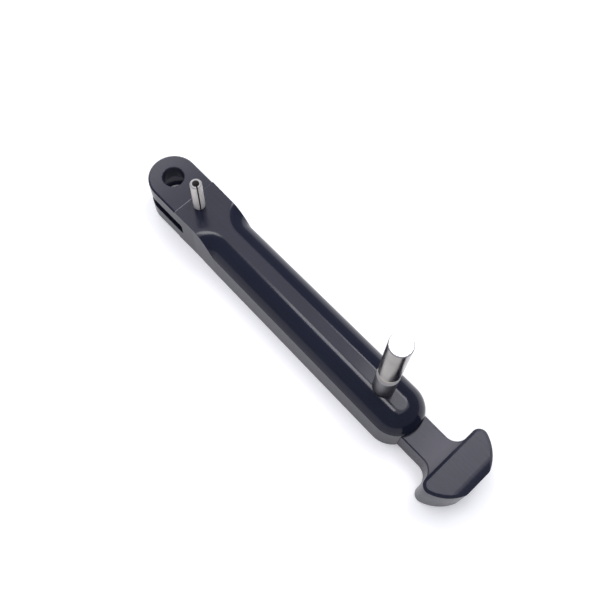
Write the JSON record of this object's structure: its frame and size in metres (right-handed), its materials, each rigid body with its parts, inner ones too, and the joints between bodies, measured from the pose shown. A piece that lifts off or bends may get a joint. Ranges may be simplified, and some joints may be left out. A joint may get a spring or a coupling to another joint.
{
  "type": "motorcycle kickstand",
  "caption": "Adjustable motorcycle side stand: milled leg with a clevis, telescoping T-shaped foot, slotted spring post and round steel kick peg.",
  "frame": {"origin": "on the pivot axis, half way through the clevis", "axes": "+X along the leg from the pivot to the foot, +Z along the pivot axis towards the side that carries the kick peg and the spring pin, +Y across the leg"},
  "size_m": [0.2452, 0.044, 0.0971],
  "materials": {
    "black_anodised_leg": "satin black anodised, fine machining grain",
    "black_anodised_foot": "satin black anodised, brushed",
    "polished_steel": "turned and polished",
    "spring_steel": "rolled strip, lightly polished",
    "screw_steel": "black oxide",
    "washer_steel": "zinc plated"
  },
  "bodies": {
    "leg_body": {"leg": "black_anodised_leg", "kick_peg": "polished_steel", "spring_pin": "spring_steel", "clamp_screws": "screw_steel", "clamp_washers": "washer_steel"},
    "foot_body": {"foot": "black_anodised_foot"}
  },
  "joints": [
    {"name": "foot_adjust", "type": "slide", "parent": "leg_body", "child": "foot_body", "axis": [1, 0, 0], "range_m": [-0.008, 0.014]}
  ]
}
